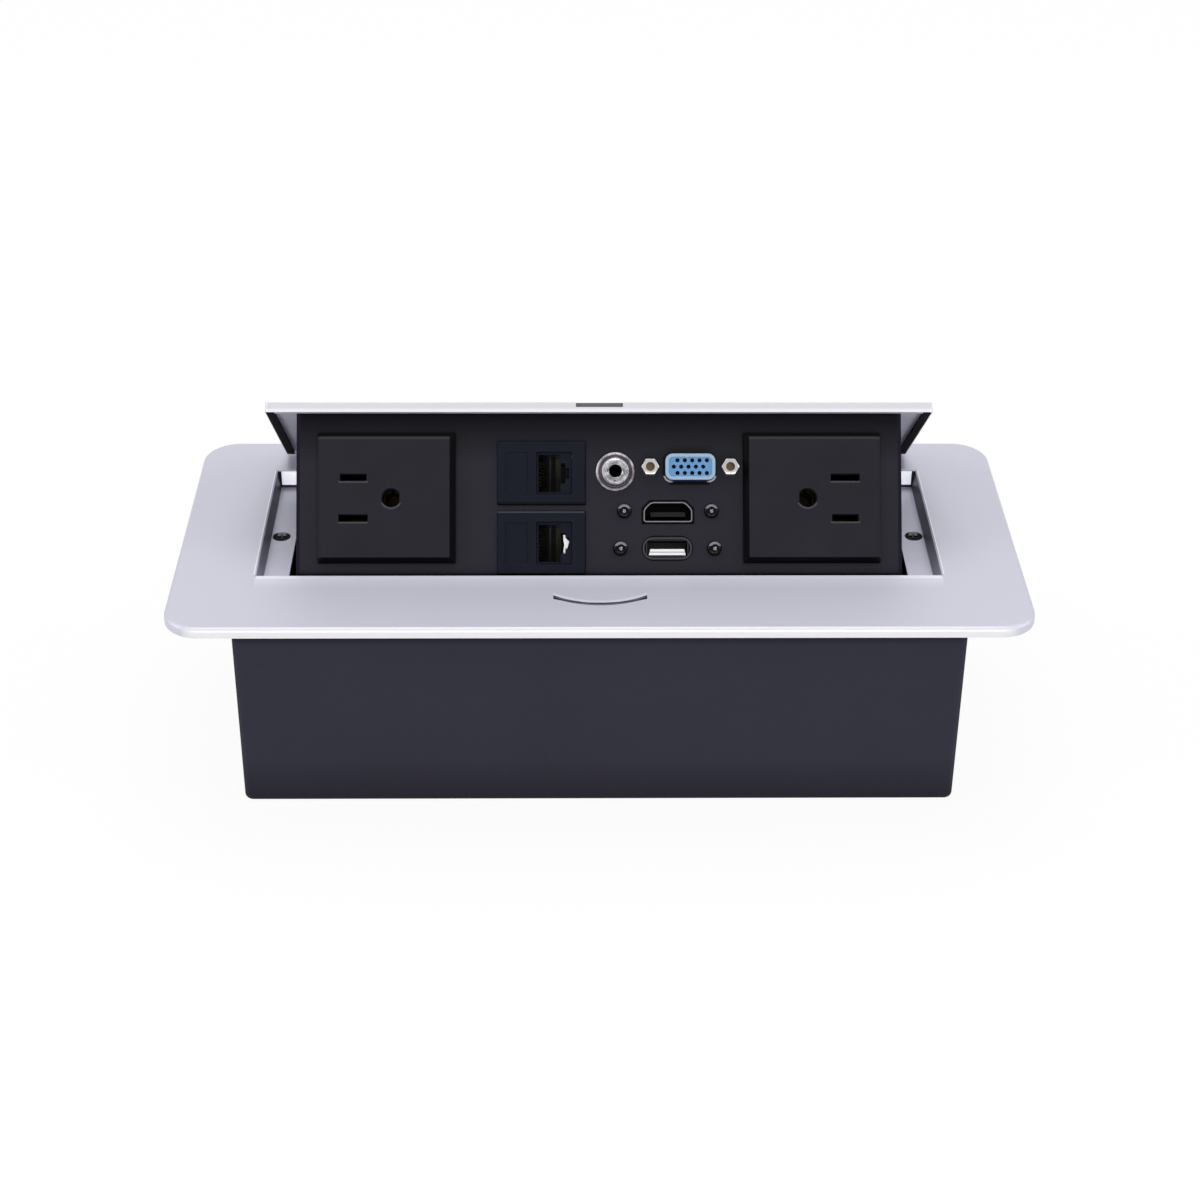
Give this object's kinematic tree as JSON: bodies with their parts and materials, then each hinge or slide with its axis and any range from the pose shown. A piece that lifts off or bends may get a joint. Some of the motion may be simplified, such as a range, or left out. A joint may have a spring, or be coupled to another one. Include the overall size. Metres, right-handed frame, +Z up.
{
  "type": "pop-up desk outlet",
  "caption": "Desk outlet box with a flush plate and a lidded tray that swings up to offer mains, data, video, sound and charging sockets.",
  "frame": {"origin": "middle of the box's underside", "axes": "+X to the right seen from the front, +Y to the back, where the hinge is, +Z up out of the desk"},
  "size_m": [0.265, 0.118, 0.1131],
  "materials": {
    "plate_alloy": "satin anodised",
    "lid_alloy": "satin anodised",
    "black_steel": "matt black powder coat",
    "tray_black": "satin black powder coat",
    "zinc_steel": "zinc plated",
    "black_screw": "black oxide",
    "spring_steel": "bright spring steel",
    "nickel": "bright nickel",
    "brass_contact": "bright",
    "gold_wire": "gold plated",
    "socket_black": "fine texture",
    "module_black": "satin",
    "damper_plastic": "matt",
    "gear_plastic": "natural acetal",
    "rubber_black": "matt",
    "blue_plastic": "satin",
    "white_plastic": "satin",
    "latch_plastic": "matt",
    "magnet_metal": "nickel plated magnet"
  },
  "bodies": {
    "base": {"face_plate": "plate_alloy", "plate_screws": "zinc_steel", "lower_box": "black_steel", "side_bracket_right": "black_steel", "side_bracket_left": "black_steel", "hinge_bracket_right": "zinc_steel", "hinge_bracket_left": "zinc_steel", "bracket_rivets": "zinc_steel", "pivot_pin_right": "zinc_steel", "pivot_pin_left": "zinc_steel", "pivot_washers": "gear_plastic", "hinge_spring_right": "spring_steel", "hinge_spring_left": "spring_steel", "damper_body": "damper_plastic", "damper_rivets": "zinc_steel", "latch_housing": "latch_plastic", "latch_screws": "zinc_steel", "latch_spring": "spring_steel", "cable_grommet_right": "rubber_black", "cable_grommet_left": "rubber_black"},
    "tray": {"lid": "lid_alloy", "lid_seals": "rubber_black", "lid_screws": "zinc_steel", "tray_panel": "tray_black", "tray_floor": "tray_black", "tray_side_right": "tray_black", "tray_side_left": "tray_black", "tie_bar": "black_steel", "strike_plate": "zinc_steel", "stop_pads": "rubber_black", "gear_sector": "gear_plastic", "sector_rivets": "zinc_steel", "spring_posts": "zinc_steel", "outlet_right": "socket_black", "outlet_left": "socket_black", "neutral_contacts": "brass_contact", "line_contacts": "brass_contact", "earth_contacts": "brass_contact", "data_frame_upper": "module_black", "data_frame_lower": "module_black", "data_jack_upper": "module_black", "data_jack_lower": "module_black", "data_contacts_upper": "gold_wire", "data_contacts_lower": "gold_wire", "audio_jack": "socket_black", "audio_washer": "nickel", "audio_nut": "nickel", "vga_shell": "nickel", "vga_insulator": "blue_plastic", "vga_jackscrews": "nickel", "hdmi_carrier": "socket_black", "hdmi_shell": "nickel", "hdmi_tongue": "socket_black", "usb_carrier": "socket_black", "usb_shell": "nickel", "usb_tongue": "white_plastic", "port_screws": "black_screw"},
    "pinion": {"damper_pinion": "gear_plastic"},
    "plunger": {"latch_plunger": "gear_plastic", "latch_magnet": "magnet_metal"}
  },
  "joints": [
    {"name": "tray_hinge", "type": "hinge", "parent": "base", "child": "tray", "pos_m": [0, 0.04687, 0.0501], "axis": [1, 0, 0], "range_deg": [0, 41.16], "stiffness_Nm_per_rad": 0.3, "springref_deg": -85.94, "deforming": ["hinge_spring_right", "hinge_spring_left"]},
    {"name": "damper_spin", "type": "hinge", "parent": "base", "child": "pinion", "pos_m": [-0.0985, 0.01738, 0.02945], "axis": [1, 0, 0], "range_deg": [-207, 1]},
    {"name": "latch_slide", "type": "slide", "parent": "base", "child": "plunger", "axis": [0, 0, 1], "range_m": [-0.004, 0], "stiffness_N_per_m": 300, "springref_m": 0.004, "deforming": ["latch_spring"]}
  ],
  "couplings": [
    {"joint": "damper_spin", "follows": "tray_hinge", "ratio": -5}
  ]
}
